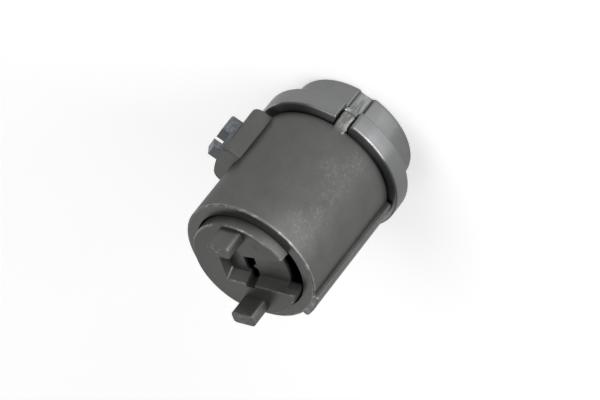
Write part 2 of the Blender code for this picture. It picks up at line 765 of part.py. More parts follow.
def build_rotor(material):
    """Build the rotor: barrel, drum, flange, lands and prongs in one casting."""
    skirt_seat = BARREL_RADIUS - FACE_SKIRT_WALL - TOUCH_GAP
    profile = [
        (0.0, LAND),
        (FLANGE_RADIUS - FLANGE_CHAMFER, LAND),
        (FLANGE_RADIUS, LAND - FLANGE_CHAMFER),
        (FLANGE_RADIUS, FLANGE_FRONT),
        (DRUM_RADIUS, FLANGE_FRONT),
        (DRUM_RADIUS, REAR_BORE_FLOOR + RUNNING_CLEARANCE),
        (BARREL_RADIUS, REAR_BORE_FLOOR + RUNNING_CLEARANCE),
        (BARREL_RADIUS, NECK_FRONT),
        (skirt_seat - TOUCH_GAP, NECK_FRONT),
        (skirt_seat - TOUCH_GAP, ring_front() - TOUCH_GAP),
        (skirt_seat, ring_front() - TOUCH_GAP),
        (skirt_seat, BARREL_FRONT),
        (0.0, BARREL_FRONT),
    ]
    rotor = as_part(turned("rotor", profile, LARGE_STEPS), material)
    lug_low = REAR_BORE_FLOOR + RUNNING_CLEARANCE
    lug = sector(
        "stop_lug", DRUM_RADIUS - TOUCH_GAP, FLANGE_RADIUS, STOP_LUG_START,
        STOP_LUG_START + STOP_LUG_SPAN, lug_low, FLANGE_FRONT + TOUCH_GAP,
    )
    join(rotor, lug)
    cut(rotor, build_drive_pocket())
    cut(rotor, build_rim_notch())
    join(rotor, build_prong("prong_upper", PRONG_HEIGHT))
    join(rotor, build_prong("prong_lower", -PRONG_HEIGHT))
    cut(rotor, plate("keyway", [keyway_outline()], -BEYOND, PRONG_END + BEYOND))
    for index in range(WAFER_COUNT):
        cut(rotor, build_wafer_slot(index))
    cut(rotor, build_shutter_room())
    across, along = shutter_axis()
    seat = SHUTTER_PIN_RADIUS + PIN_CLEARANCE
    hold = SHUTTER_HALF_HEIGHT + SHUTTER_PIN_HOLD + TOUCH_GAP
    pin_seat = box(
        "pin_seat", (across - seat, across + seat), (-hold, hold), (BARREL_FRONT - BEYOND, along + seat)
    )
    cut(rotor, pin_seat)
    return rotor


def build_rotor_face(material):
    """Build the pressed cup over the front of the rotor, with the key slot."""
    inner = BARREL_RADIUS - FACE_SKIRT_WALL
    disc = BARREL_FRONT - TOUCH_GAP
    front = disc - FACE_THICKNESS
    skirt = ring_front() - TOUCH_GAP
    profile = [
        (BARREL_RADIUS, skirt),
        (BARREL_RADIUS, front + FLANGE_CHAMFER),
        (BARREL_RADIUS - FLANGE_CHAMFER, front),
        (0.0, front),
        (0.0, disc),
        (inner, disc),
        (inner, skirt),
    ]
    face = as_part(cup("rotor_face", profile, SMALL_STEPS), material)
    corners = [
        (-KEY_SLOT_WIDTH / 2.0, -KEY_SLOT_HEIGHT / 2.0),
        (KEY_SLOT_WIDTH / 2.0, -KEY_SLOT_HEIGHT / 2.0),
        (KEY_SLOT_WIDTH / 2.0, KEY_SLOT_HEIGHT / 2.0),
        (-KEY_SLOT_WIDTH / 2.0, KEY_SLOT_HEIGHT / 2.0),
    ]
    slot = plate("key_slot", [rounded(corners, TOUCH_GAP)], front - BEYOND, BARREL_FRONT)
    return cut(face, slot)


def cup(name, profile, steps):
    """Revolve a cup whose profile starts on its rim and crosses the axis twice."""
    crossing = [index for index, point in enumerate(profile) if point[0] == 0.0]
    opened = profile[crossing[1]:] + profile[:crossing[0] + 1]
    return turned(name, opened, steps)


def ring_front():
    """Return the height of the front of the retaining ring."""
    return NECK_FRONT - TOUCH_GAP - RING_THICKNESS


def build_retaining_ring(material):
    """Build the open ring that holds the rotor in the housing."""
    inner = BARREL_RADIUS - RING_SEAT_DEPTH + TOUCH_GAP
    outer = BARREL_RADIUS + RING_REACH
    start = 90.0 + RING_OPENING / 2.0
    end = start + 360.0 - RING_OPENING
    outline = arc(outer, start, end, SMALL_STEPS) + arc(inner, end, start, SMALL_STEPS)
    ring = plate("retaining_ring", [outline], ring_front(), ring_front() + RING_THICKNESS)
    return as_part(ring, material)


def build_shutter(material):
    """Build the shutter flap with a knuckle at each end of its hinge."""
    across, along = shutter_axis()
    reach = KEY_SLOT_WIDTH / 2.0 + SHUTTER_OVERLAP - across
    face = -SHUTTER_KNUCKLE_RADIUS
    half = SHUTTER_HALF_HEIGHT
    flap = box("key_shutter", (0.0, reach), (-half, half), (face, face + SHUTTER_THICKNESS))
    upright = Matrix.Rotation(math.radians(90.0), 4, "X")
    placing = Matrix.Translation((across, 0.0, along))
    flap.matrix_world = placing
    middle = half - SHUTTER_KNUCKLE_LENGTH / 2.0
    for side, label in ((-1, "lower"), (1, "upper")):
        knuckle = rod("knuckle_" + label, SHUTTER_KNUCKLE_RADIUS, SHUTTER_KNUCKLE_LENGTH, PIN_STEPS)
        knuckle.matrix_world = placing @ Matrix.Translation((0.0, side * middle, 0.0)) @ upright
        join(flap, knuckle)
    room = SHUTTER_SPRING_ROOM
    spring_room = box(
        "spring_room", (-BEYOND, SHUTTER_KNUCKLE_RADIUS), (-room, room), (-BEYOND, BEYOND)
    )
    spring_room.matrix_world = placing
    cut(flap, spring_room)
    hole = rod("pin_hole", SHUTTER_PIN_RADIUS + PIN_CLEARANCE, 4.0 * half, PIN_STEPS)
    hole.matrix_world = placing @ upright
    cut(flap, hole)
    return as_part(flap, material)


def build_shutter_pin(material):
    """Build the hinge pin of the shutter."""
    across, along = shutter_axis()
    length = 2.0 * (SHUTTER_HALF_HEIGHT + SHUTTER_PIN_HOLD)
    pin = rod("shutter_pin", SHUTTER_PIN_RADIUS, length, PIN_STEPS)
    pin.rotation_euler = (math.radians(90.0), 0.0, 0.0)
    pin.location = (across, 0.0, along)
    return as_part(pin, material)


def build_shutter_spring(material):
    """Build the spring round the hinge pin, between the two knuckles."""
    across, along = shutter_axis()
    wire = SHUTTER_SPRING_WIRE_RADIUS
    radius = SHUTTER_PIN_RADIUS + PIN_CLEARANCE + wire
    length = 2.0 * (SHUTTER_SPRING_ROOM - TOUCH_GAP)
    spring = coil("shutter_spring", radius, wire, length, SHUTTER_SPRING_TURNS)
    spring.rotation_euler = (math.radians(90.0), 0.0, 0.0)
    spring.location = (across, 0.0, along)
    return as_part(spring, material)


def build_wafer(index, material):
    """Build one wafer with its window and the ear that its spring bears on."""
    half = WAFER_HALF_WIDTH
    start = math.degrees(math.acos(half / WAFER_REACH))
    ear = half + WAFER_EAR_REACH
    outline = arc(WAFER_REACH, start, 180.0 - start, 6)
    outline += arc(WAFER_REACH, 180.0 + start, 360.0 - start, 6)
    outline += [
        (half, WAFER_EAR_TOP - WAFER_EAR_HEIGHT),
        (ear, WAFER_EAR_TOP - WAFER_EAR_HEIGHT),
        (ear, WAFER_EAR_TOP),
        (half, WAFER_EAR_TOP),
    ]
    shift = WAFER_CUTS[index % len(WAFER_CUTS)] * WAFER_CUT_STEP
    width = WAFER_WINDOW_HALF_WIDTH
    height = WAFER_WINDOW_HALF_HEIGHT
    window = [
        (-width, shift - height),
        (-width, shift + height),
        (width, shift + height),
        (width, shift - height),
    ]
    name = "wafer_%d" % (index + 1)
    wafer = plate(name, [outline, window], -WAFER_THICKNESS / 2.0, WAFER_THICKNESS / 2.0)
    wafer.location = (0.0, 0.0, wafer_middle(index))
    return as_part(turned_about_z(wafer, 180.0 * (index % 2)), material)


def build_wafer_spring(index, material):
    """Build the coil spring that lifts one wafer by its ear."""
    foot = -WAFER_SPRING_FOOT + TOUCH_GAP
    top = WAFER_EAR_TOP - WAFER_EAR_HEIGHT - TOUCH_GAP
    name = "wafer_spring_%d" % (index + 1)
    spring = coil(name, WAFER_SPRING_RADIUS, WAFER_SPRING_WIRE_RADIUS, top - foot, WAFER_SPRING_TURNS)
    side = 1.0 - 2.0 * (index % 2)
    spring.rotation_euler = (math.radians(90.0), 0.0, 0.0)
    spring.location = (side * WAFER_SPRING_X, side * (foot + top) / 2.0, wafer_middle(index))
    return as_part(spring, material)


def build_all():
    """Build every piece of the lock cylinder."""
    casting = surface("zinc_casting", (0.34, 0.35, 0.34), 0.45, 0.8)
    plated = surface("plated_cap", (0.50, 0.50, 0.51), 0.28, 0.9)
    galvanised = surface("galvanised_steel", (0.45, 0.47, 0.50), 0.40, 0.9)
    pressed = surface("pressed_steel", (0.42, 0.42, 0.43), 0.35, 0.9)
    brass = surface("brass", (0.72, 0.55, 0.28), 0.35, 1.0)
    wire = surface("spring_wire", (0.55, 0.55, 0.56), 0.30, 1.0)
    build_cap(plated)
    build_housing(casting)
    build_rotor(casting)
    build_rotor_face(pressed)
    build_retaining_ring(pressed)
    build_shutter(pressed)
    build_shutter_pin(pressed)
    build_shutter_spring(wire)
    build_latch(galvanised)
    build_latch_spring(wire)
    for index in range(WAFER_COUNT):
        build_wafer(index, brass)
        build_wafer_spring(index, wire)


build_all()
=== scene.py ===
# %% [markdown]
# An ignition lock cylinder
#
# This is the barrel that a car key turns. A die cast housing holds a rotor, the rotor carries the
# wafers that read the key, a sprung latch keeps the cylinder in the steering lock, and a plated cap
# finishes the end that the driver sees. The part is seen from its drive end, where a pocket and two
# prongs turn the steering lock.
#
# The engineering model is loaded first. It is the fixed frame: every new surface lies where that
# model says, and only looks are added here.

import json
import math

import bmesh
import bpy
import numpy as np
from mathutils import Matrix, Vector


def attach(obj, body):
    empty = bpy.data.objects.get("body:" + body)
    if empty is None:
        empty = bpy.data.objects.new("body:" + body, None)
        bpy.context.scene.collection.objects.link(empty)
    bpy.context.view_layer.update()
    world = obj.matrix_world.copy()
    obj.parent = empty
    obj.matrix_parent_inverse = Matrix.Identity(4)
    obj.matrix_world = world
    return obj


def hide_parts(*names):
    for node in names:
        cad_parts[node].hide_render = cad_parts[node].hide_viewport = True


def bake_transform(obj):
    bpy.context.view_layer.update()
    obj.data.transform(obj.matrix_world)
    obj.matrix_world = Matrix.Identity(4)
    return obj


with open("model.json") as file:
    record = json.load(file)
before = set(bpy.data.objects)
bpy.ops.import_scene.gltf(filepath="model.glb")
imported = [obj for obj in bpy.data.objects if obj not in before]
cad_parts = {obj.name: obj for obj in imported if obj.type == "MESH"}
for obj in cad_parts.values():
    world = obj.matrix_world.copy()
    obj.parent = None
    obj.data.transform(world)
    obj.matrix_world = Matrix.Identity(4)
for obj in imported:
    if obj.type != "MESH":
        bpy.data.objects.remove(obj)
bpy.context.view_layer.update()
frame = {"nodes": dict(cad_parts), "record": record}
MM = 0.001
bpy.context.scene.view_settings.view_transform = "Standard"

# %% [markdown]
# Camera
#
# The lock axis is Z and points at the steering lock. The photograph was taken with a long lens from
# almost a metre away, so lines along the axis hardly converge. The three directions below were found
# by fitting the circles of the cap, the housing and the rotor, and a rotation matrix made of them is
# safer than angles, because the camera is also rolled.

# %% Camera
IMAGE_RIGHT = Vector((0.81483616, -0.25315799, -0.52149119))
IMAGE_UP = Vector((-0.19867756, 0.72315630, -0.66149240))
TO_CAMERA = Vector((0.54458172, 0.64261652, 0.53895710))
LOOK_AT = Vector((0.0, 0.0, 24.0 * MM))
CAMERA_DISTANCE = 0.915066
FRAMING_RIGHT = 0.001248
FRAMING_UP = 0.001202
SENSOR_WIDTH = 36.0
FOCAL_LENGTH = 270.6

lens = bpy.data.cameras.new("camera")
lens.sensor_width = SENSOR_WIDTH
lens.lens = FOCAL_LENGTH
lens.clip_start = 0.05
lens.clip_end = 20.0
camera = bpy.data.objects.new("camera", lens)
bpy.context.scene.collection.objects.link(camera)
turned = Matrix((IMAGE_RIGHT, IMAGE_UP, TO_CAMERA)).transposed().to_4x4()
place = LOOK_AT + TO_CAMERA * CAMERA_DISTANCE + IMAGE_RIGHT * FRAMING_RIGHT + IMAGE_UP * FRAMING_UP
camera.matrix_world = Matrix.Translation(place) @ turned
bpy.context.scene.camera = camera
print("camera height above the floor, m:", round(place.z, 3))

# %% [markdown]
# Shader maths as plain expressions
#
# Node trees are easier to read when a sum looks like a sum. `Value` wraps one socket, and each
# operator adds a Math node. `Finish` holds one material and adds every other node through one method.
# Colours never go through a Math node, because it would turn them grey: `tint` uses a Mix node.
# Masks are fades between two distances. `rise` and `near` take those in millimetres, as the sizes are.


# %% Socket wrapper
class Value:
    """A number socket that can be used in sums."""

    def __init__(self, finish, socket):
        self.finish = finish
        self.socket = socket

    def sum_with(self, operation, first, second):
        """Add a Math node for two terms."""
        return self.finish.number("ShaderNodeMath", {"operation": operation}, {0: first, 1: second})

    def __add__(self, other):
        return self.sum_with("ADD", self, other)

    def __radd__(self, other):
        return self.sum_with("ADD", other, self)

    def __sub__(self, other):
        return self.sum_with("SUBTRACT", self, other)

    def __rsub__(self, other):
        return self.sum_with("SUBTRACT", other, self)

    def __mul__(self, other):
        return self.sum_with("MULTIPLY", self, other)

    def __rmul__(self, other):
        return self.sum_with("MULTIPLY", other, self)


# %% Material builder
class Finish:
    """One material, whose nodes are all added by the same method."""

    def __init__(self, name):
        self.material = bpy.data.materials.new(name)
        self.material.use_nodes = True
        self.tree = self.material.node_tree
        self.tree.nodes.clear()
        self.place = self.node("ShaderNodeTexCoord", {}, {}).outputs["Object"]

    def node(self, kind, settings, sockets):
        """Add a node, set its settings, then fill or link its sockets."""
        node = self.tree.nodes.new(kind)
        for name, value in settings.items():
            if name == "stops":
                self.set_stops(node.color_ramp, value)
            else:
                setattr(node, name, value)
        for name, value in sockets.items():
            value = value.socket if isinstance(value, Value) else value
            if isinstance(value, bpy.types.NodeSocket):
                self.tree.links.new(value, node.inputs[name])
            else:
                node.inputs[name].default_value = value
        return node

    def set_stops(self, ramp, stops):
        """Write the stops of a colour ramp as grey levels."""
        while len(ramp.elements) < len(stops):
            ramp.elements.new(0.5)
        for element, (position, level) in zip(ramp.elements, stops):
            element.position = position
            element.color = (level, level, level, 1.0)

    def number(self, kind, settings, sockets, output=0):
        """Add a node and return one of its outputs as a number."""
        return Value(self, self.node(kind, settings, sockets).outputs[output])

    def axes(self):
        """Return the three coordinates of the point, in metres of object space."""
        parts = self.node("ShaderNodeSeparateXYZ", {}, {0: self.place})
        return [Value(self, socket) for socket in parts.outputs]

    def root(self, value):
        """Return a square root."""
        return self.number("ShaderNodeMath", {"operation": "SQRT"}, {0: value})

    def ramp(self, value, low, high):
        """Return 0 below low, 1 above high and a smooth rise between them."""
        sockets = {"Value": value, "From Min": low, "From Max": high}
        return self.number("ShaderNodeMapRange", {"interpolation_type": "SMOOTHSTEP"}, sockets)

    def noise(self, scale, detail=3.0, roughness=0.55, stretch=(1.0, 1.0, 1.0)):
        """Return noise in metres of object space, with its grain stretched along an axis."""
        mapped = self.node("ShaderNodeMapping", {}, {"Vector": self.place, "Scale": stretch})
        sockets = {"Vector": mapped.outputs[0], "Scale": scale, "Detail": detail, "Roughness": roughness}
        return self.number("ShaderNodeTexNoise", {}, sockets)

    def rise(self, value, low, high):
        """Return the ramp between two distances that are given in millimetres."""
        return self.ramp(value, low * MM, high * MM)

    def near(self, point, inner, outer):
        """Return 1 within a distance of a point, falling to 0 at a larger one, all in millimetres."""
        centre = [part * MM for part in point]
        sockets = {0: self.place, 1: centre}
        apart = self.node("ShaderNodeVectorMath", {"operation": "DISTANCE"}, sockets)
        return 1.0 - self.rise(apart.outputs["Value"], inner, outer)

    def tint(self, amount, base, other):
        """Mix two colours, each a link or three numbers."""
        colours = [c if isinstance(c, bpy.types.NodeSocket) else (*c, 1.0) for c in (base, other)]
        settings = {"data_type": "RGBA", "blend_type": "MIX"}
        sockets = {0: amount, 6: colours[0], 7: colours[1]}
        return self.node("ShaderNodeMix", settings, sockets).outputs[2]

    def finish(self, colour, roughness, metallic, height=None, bump=0.2, depth=0.0001, **plain):
        """Connect the Principled shader and return the material."""
        sockets = {"Base Color": colour, "Roughness": roughness, "Metallic": metallic, **plain}
        if height is not None:
            bumped = {"Height": height, "Strength": bump, "Distance": depth}
            sockets["Normal"] = self.node("ShaderNodeBump", {}, bumped).outputs[0]
        shader = self.node("ShaderNodeBsdfPrincipled", {}, sockets)
        self.node("ShaderNodeOutputMaterial", {}, {"Surface": shader.outputs[0]})
        return self.material


# %% [markdown]
# Light and ground
#
# A product like this is photographed on white in even light from wide, soft lamps. Low lamps draw the
# long bright bands along the plated cap, one above shades the barrel, and one behind lights the drive
# end. The world fills what is left. The ground is a plain pale sheet. Camera, glossy and transmission
# rays see it a little lifted towards white, and it still takes the shadow of the part.

# %% World
WORLD_STRENGTH = 0.26
world = bpy.data.worlds.new("studio")
bpy.context.scene.world = world
world.use_nodes = True
background = world.node_tree.nodes["Background"].inputs
background["Color"].default_value = (1.0, 1.0, 1.0, 1.0)
background["Strength"].default_value = WORLD_STRENGTH
print("world strength:", WORLD_STRENGTH)

# %% Lamps
# Bearing round the axis and rise in degrees, distance and size in metres, power in watts
LAMPS = {
    "lamp_above": (100.0, 54.0, 0.6, 0.45, 1.15),
    "lamp_behind": (-130.0, 33.0, 0.6, 0.30, 0.39),
    "lamp_low_right": (13.0, 4.0, 0.5, 0.30, 2.6),
    "lamp_low_front": (40.0, 4.0, 0.5, 0.30, 1.8),
    "lamp_low_left": (184.0, 4.0, 0.5, 0.30, 0.65),
}


def soft_lamp(name, bearing, rise, distance, size, power):
    """Place a square area lamp that faces the part."""
    data = bpy.data.lights.new(name, "AREA")
    data.shape = "SQUARE"
    data.size = size
    data.energy = power
    lamp = bpy.data.objects.new(name, data)
    bpy.context.scene.collection.objects.link(lamp)
    turn, lift = math.radians(bearing), math.radians(rise)
    direction = Vector((math.cos(turn) * math.cos(lift), math.sin(turn) * math.cos(lift), math.sin(lift)))
    facing = direction.to_track_quat("Z", "Y").to_matrix().to_4x4()
    lamp.matrix_world = Matrix.Translation(LOOK_AT + direction * distance) @ facing


for lamp_name, numbers in LAMPS.items():
    soft_lamp(lamp_name, *numbers)
print("lamps:", len(LAMPS))

# %% Ground
GROUND_HALF = 3.0
GROUND_LEVEL = -0.05 * MM
GROUND_GREY = (0.86, 0.86, 0.86, 1.0)
GROUND_LIFT = 0.40

ground_finish = Finish("ground_sheet")
ray_kind = ground_finish.node("ShaderNodeLightPath", {}, {}).outputs
camera_ray, glossy_ray, transmission_ray = [
    Value(ground_finish, ray_kind[f"Is {kind} Ray"]) for kind in ("Camera", "Glossy", "Transmission")
]
background_ray = camera_ray + glossy_ray + transmission_ray
matt = ground_finish.node("ShaderNodeBsdfDiffuse", {}, {"Color": GROUND_GREY})
lift = ground_finish.node(
    "ShaderNodeEmission", {}, {"Color": (1.0, 1.0, 1.0, 1.0), "Strength": GROUND_LIFT}
)
both = ground_finish.node("ShaderNodeAddShader", {}, {0: matt.outputs[0], 1: lift.outputs[0]})
seen = ground_finish.node(
    "ShaderNodeMixShader", {}, {0: background_ray, 1: matt.outputs[0], 2: both.outputs[0]}
)
ground_finish.node("ShaderNodeOutputMaterial", {}, {"Surface": seen.outputs[0]})

ground_mesh = bpy.data.meshes.new("ground")
quarters = ((-1, -1), (1, -1), (1, 1), (-1, 1))
ground_corners = [(x * GROUND_HALF, y * GROUND_HALF, GROUND_LEVEL) for x, y in quarters]
ground_mesh.from_pydata(ground_corners, [], [(0, 1, 2, 3)])
ground_mesh.materials.append(ground_finish.material)
ground = bpy.data.objects.new("ground", ground_mesh)
bpy.context.scene.collection.objects.link(ground)
print("ground side, m:", 2.0 * GROUND_HALF)

# %% [markdown]
# A profile carried round the axis
#
# The housing and the cap are turned shapes with something added: a boss, a rail or a groove. Both can
# be written as one rule. Round the axis there are columns, each at its own angle, and each column
# has the same list of corners, given as a radius and a height. Where a column crosses the boss its
# radii grow, and where it crosses the groove they shrink. A list of corners is quicker to read than a
# cutting operation, and every edge can be rounded with the same step.


# %% Carried profile
SIDE_SHARE = 0.45


def rounded_profile(rows, count, rounds, steps=5):
    """Stack the rows, each a radius and a height, and round every corner in all columns at once.

    The result is an array of columns by points by two. Each corner P is left at a distance d along
    both of its sides, where d is the wanted round or SIDE_SHARE of the shorter side, and the points
    between are (1 - t)^2 A + 2 t (1 - t) P + t^2 C.
    """
    ones = np.ones(count)
    corners = np.stack([np.stack([r * ones, z * ones], axis=1) for r, z in rows], axis=1)
    before = np.roll(corners, 1, axis=1) - corners
    after = np.roll(corners, -1, axis=1) - corners
    long_before = np.linalg.norm(before, axis=2, keepdims=True)
    long_after = np.linalg.norm(after, axis=2, keepdims=True)
    wanted = np.asarray(rounds, float)[None, :, None]
    reach = np.minimum(wanted, SIDE_SHARE * np.minimum(long_before, long_after))
    start = corners + before / np.maximum(long_before, 1e-9) * reach
    end = corners + after / np.maximum(long_after, 1e-9) * reach
    t = np.linspace(0.0, 1.0, steps)[None, None, :, None]
    curve = (
        (1 - t) ** 2 * start[:, :, None] + 2 * t * (1 - t) * corners[:, :, None] + t**2 * end[:, :, None]
    )
    return curve.reshape(count, -1, 2)


def ring_points(turn, profile):
    """Turn profiles about the axis by angles in radians, one for each column or for each point."""
    radius, height = profile[..., 0], profile[..., 1]
    return np.stack([radius * np.cos(turn), radius * np.sin(turn), height], axis=2)


# %% Closed meshes
DOUBLES_WITHIN = 0.002


def closed_mesh(name, points, quads):
    """Make a mesh from points in millimetres, merge its doubles and turn its faces outwards."""
    mesh = bpy.data.meshes.new(name)
    mesh.from_pydata((points.reshape(-1, 3) * MM).tolist(), [], quads.reshape(-1, 4).tolist())
    build = bmesh.new()
    build.from_mesh(mesh)
    bmesh.ops.remove_doubles(build, verts=build.verts, dist=DOUBLES_WITHIN * MM)
    bmesh.ops.recalc_face_normals(build, faces=build.faces)
    build.to_mesh(mesh)
    build.free()
    return mesh


def grid_mesh(name, points):
    """Make a mesh from points on a grid that closes both ways."""
    count, rows = points.shape[:2]
    index = np.arange(count * rows).reshape(count, rows)
    around = np.roll(index, -1, axis=0)
    quads = np.stack([index, around, np.roll(around, -1, axis=1), np.roll(index, -1, axis=1)], axis=2)
    return closed_mesh(name, points, quads)


def smooth(mesh, angle=32.0):
    """Shade smooth, with an edge left sharp where its faces meet at more than an angle."""
    mesh.shade_smooth()
    mesh.set_sharp_from_angle(angle=math.radians(angle))
    return mesh


# %% Pieces
def add_piece(name, mesh, material, body, slot, *nodes):
    """Link a finished mesh as a piece that stands for CAD nodes and, where a body is given, rides on it."""
    mesh.materials.clear()
    mesh.materials.append(material)
    piece = bpy.data.objects.new(name, mesh)
    bpy.context.scene.collection.objects.link(piece)
    if body:
        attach(piece, body)
    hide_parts(*nodes)
    low = [min(v.co[axis] for v in mesh.vertices) / MM for axis in range(3)]
    high = [max(v.co[axis] for v in mesh.vertices) / MM for axis in range(3)]
    print(name, "faces", len(mesh.polygons), "mm", [round(h - l, 1) for l, h in zip(low, high)])
    return piece


# %% [markdown]
# Cast metal
#
# The housing and the rotor are zinc castings. The skin of a die casting is dull and a little mottled,
# because the metal cools against the steel die unevenly, and it has a fine grain. Where it has worn in
# service it goes lighter and rougher, and its edges carry a painted highlight along with that wear. The
# rear bore and the rotor inside it are painted almost black as painted shade. The maths is therefore a
# slow noise for the mottle, a fine one for the grain, and masks that multiply a soft region, written with
# plain coordinates, by a broken noise. A cast skin doesn't flare at a glancing angle as polished metal
# does, so the tint of its edge reflection is lowered.

# %% Places that the finishes follow
BARREL = 15.0
HOUSING_REAR = 40.8
REAR_BORE = 12.4
RAIL_HEIGHT = 1.1
LAND = 43.3
FLANGE = 12.1
PRONG_END = 48.2
POCKET_EDGE = -4.3
GROOVE_ANGLE = 59.0
LUG_PLACE = (8.2, 13.6, 9.8)
SMUDGE_PLACE = (5.2, 7.6, LAND)
SMUDGE_BLUE = (0.05, 0.05, 0.07)
SPECKLED = [
    (10.6, 10.6, 21.5),
    (12.8, 7.8, 16.2),
    (12.7, 7.9, 21.0),
    (12.7, 8.0, 26.0),
    (13.1, 7.4, 31.0),
    (11.8, 9.3, 35.5),
    (13.6, 6.4, 38.0),
]
CAST_LEVEL = 0.106
ROTOR_LEVEL = CAST_LEVEL * 1.06
# Almost black painted shade for the rear bore and the rotor inside it
PAINTED_SHADE_BLACK = (0.006, 0.006, 0.006)
DULL_EDGE = {"Specular Tint": (0.55, 0.55, 0.55, 1.0)}
# A noise is drawn out along the axis whose number is small
CAST_STREAK = (1.0, 1.0, 0.3)
DRAWN_STREAK = (1.0, 1.0, 0.12)
print("speckled places:", len(SPECKLED))


# %% Cast zinc
class Casting(Finish):
    """A zinc casting whose shade is built up in layers."""

    def __init__(self, name, level):
        super().__init__(name)
        self.level = level
        self.mottle = self.noise(160.0, 4.0, 0.6)
        self.grain = self.noise(2400.0, 2.0, 0.5)
        streak = self.noise(600.0, 3.0, 0.6, CAST_STREAK)
        shade = 0.5 + (self.mottle - 0.5) * 0.60 + (streak - 0.5) * 0.22 + (self.grain - 0.5) * 0.22
        self.colour = self.tint(shade, self.shade_of(0.62), self.shade_of(1.38))
        self.rough = 0.38 + (self.mottle - 0.5) * 0.16
        self.x, self.y, self.z = self.axes()
        self.radius = self.root(self.x * self.x + self.y * self.y)

    def shade_of(self, share, warmth=0.0):
        """Return the casting's own colour made lighter or darker, and warmer if asked."""
        level = self.level * share
        return (level * (0.995 + 0.3 * warmth), level * (1.01 + 0.2 * warmth), level * (0.97 - warmth))

    def layer(self, mask, colour, rougher=0.0):
        """Lay another colour over the ones so far."""
        self.colour = self.tint(mask, self.colour, colour)
        self.rough = self.rough + mask * rougher

    def lighten_wear_and_sheen(self, region, amount, scale=1500.0, warmth=0.0, share=2.0):
        """Lighten a region where a broken noise is high."""
        broken = self.ramp(self.noise(scale, 5.0, 0.7), 0.47, 0.68)
        self.layer(region * broken * amount, self.shade_of(share, warmth), rougher=0.12)

    def done(self):
        """Return the finished material."""
        height = self.grain + self.mottle * 0.6
        return self.finish(
            self.colour, self.rough, metallic=0.85, height=height, bump=0.2, depth=0.00008, **DULL_EDGE
        )


# %% Housing casting
def housing_casting():
    """Return the housing's finish: speckled side, painted highlight and wear along the rear edge and the
    rail, a worn lug, and painted shade in the bore.
    """
    cast = Casting("cast_housing", CAST_LEVEL)
    band = cast.near(SPECKLED[0], 0.5, 4.5)
    for point in SPECKLED[1:]:
        band = band + cast.near(point, 0.5, 4.5) * (1.0 - band)
    cast.lighten_wear_and_sheen(band, amount=0.42, scale=1300.0, warmth=0.10)
    cast.layer(band * 0.10, cast.shade_of(1.7, warmth=0.06))
    # Painted highlight along the rear edge of the barrel, with wear
    rim_sheen_and_wear = cast.rise(cast.z, HOUSING_REAR - 0.70, HOUSING_REAR - 0.35)
    rim_sheen_and_wear = rim_sheen_and_wear * cast.rise(cast.radius, BARREL - 0.55, BARREL - 0.25)
    cast.layer(rim_sheen_and_wear * 0.6, cast.shade_of(1.8))
    cast.lighten_wear_and_sheen(rim_sheen_and_wear, amount=0.9, scale=900.0, share=3.4)
    # Painted highlight along the top of the rail, with wear
    rail_sheen_and_wear = cast.rise(cast.radius, BARREL + RAIL_HEIGHT - 0.35, BARREL + RAIL_HEIGHT - 0.15)
    rail_sheen_and_wear = rail_sheen_and_wear * (1.0 - cast.rise(cast.y, -3.5, -2.5))
    cast.layer(rail_sheen_and_wear * 0.35, cast.shade_of(1.4))
    cast.lighten_wear_and_sheen(rail_sheen_and_wear, amount=0.3, scale=1500.0, share=2.2)
    lug_rub = cast.near(LUG_PLACE, 1.5, 3.1)
    drawn = cast.ramp(cast.noise(1500.0, 3.0, 0.6, DRAWN_STREAK), 0.42, 0.60)
    cast.layer(lug_rub * 0.5, cast.shade_of(1.6))
    cast.layer(lug_rub * drawn * 0.8, cast.shade_of(2.6), rougher=0.1)
    # Painted shade, almost black, down the rear bore
    bore = 1.0 - cast.rise(cast.radius, REAR_BORE + 0.01, REAR_BORE + 0.20)
    bore = bore * (1.0 - cast.rise(cast.z, HOUSING_REAR - 1.2, HOUSING_REAR - 0.2))
    cast.layer(bore, PAINTED_SHADE_BLACK)
    return cast.done()


# %% Rotor casting
def rotor_casting():
    """Return the rotor's finish: painted highlight and wear on the edges of the land and the prongs, and
    painted shade in the keyway and below the housing's rear face.
    """
    cast = Casting("cast_rotor", ROTOR_LEVEL)
    cast.rough = cast.rough + 0.06
    # Painted highlight and wear along the outer edge of the land
    rim_sheen_and_wear = cast.rise(cast.z, LAND - 0.45, LAND - 0.20) * cast.rise(cast.radius, FLANGE - 0.50, FLANGE - 0.20)
    cast.layer(rim_sheen_and_wear * 0.4, cast.shade_of(1.6))
    cast.lighten_wear_and_sheen(rim_sheen_and_wear, amount=0.9, scale=1000.0, share=3.2)
    # Painted highlight and wear along the land's edge at the pocket
    from_edge = cast.number("ShaderNodeMath", {"operation": "ABSOLUTE"}, {0: cast.y - POCKET_EDGE * MM})
    edge = (1.0 - cast.rise(from_edge, 0.12, 0.32)) * cast.rise(cast.z, LAND - 0.3, LAND - 0.1)
    edge = edge * cast.rise(cast.x, -5.2, -4.6)
    cast.layer(edge * 0.6, cast.shade_of(1.9))
    cast.lighten_wear_and_sheen(edge, amount=0.9, scale=900.0, share=3.2)
    # Painted highlight on the edges of the prong ends, with wear
    ends = cast.rise(cast.z, PRONG_END - 0.50, PRONG_END - 0.15)
    cast.lighten_wear_and_sheen(ends, amount=0.7, scale=1200.0, share=2.6)
    cast.layer(cast.near(SMUDGE_PLACE, 0.3, 1.4) * 0.35, SMUDGE_BLUE)
    # Painted shade, almost black, on the rotor below the housing's rear face, in the keyway and the bore
    cast.layer(1.0 - cast.rise(cast.z, HOUSING_REAR - 1.1, HOUSING_REAR - 0.2), PAINTED_SHADE_BLACK)
    return cast.done()


housing_zinc = housing_casting()
rotor_zinc = rotor_casting()
print("cast finishes:", housing_zinc.name, rotor_zinc.name)

# %% [markdown]
# Housing
#
# The columns are closest together where the outline turns quickly. Going round from the middle of the
# boss, a ray from the axis meets its outer arc, then its round corner and then its flat side. The rail
# is a raised band with a round on each side.

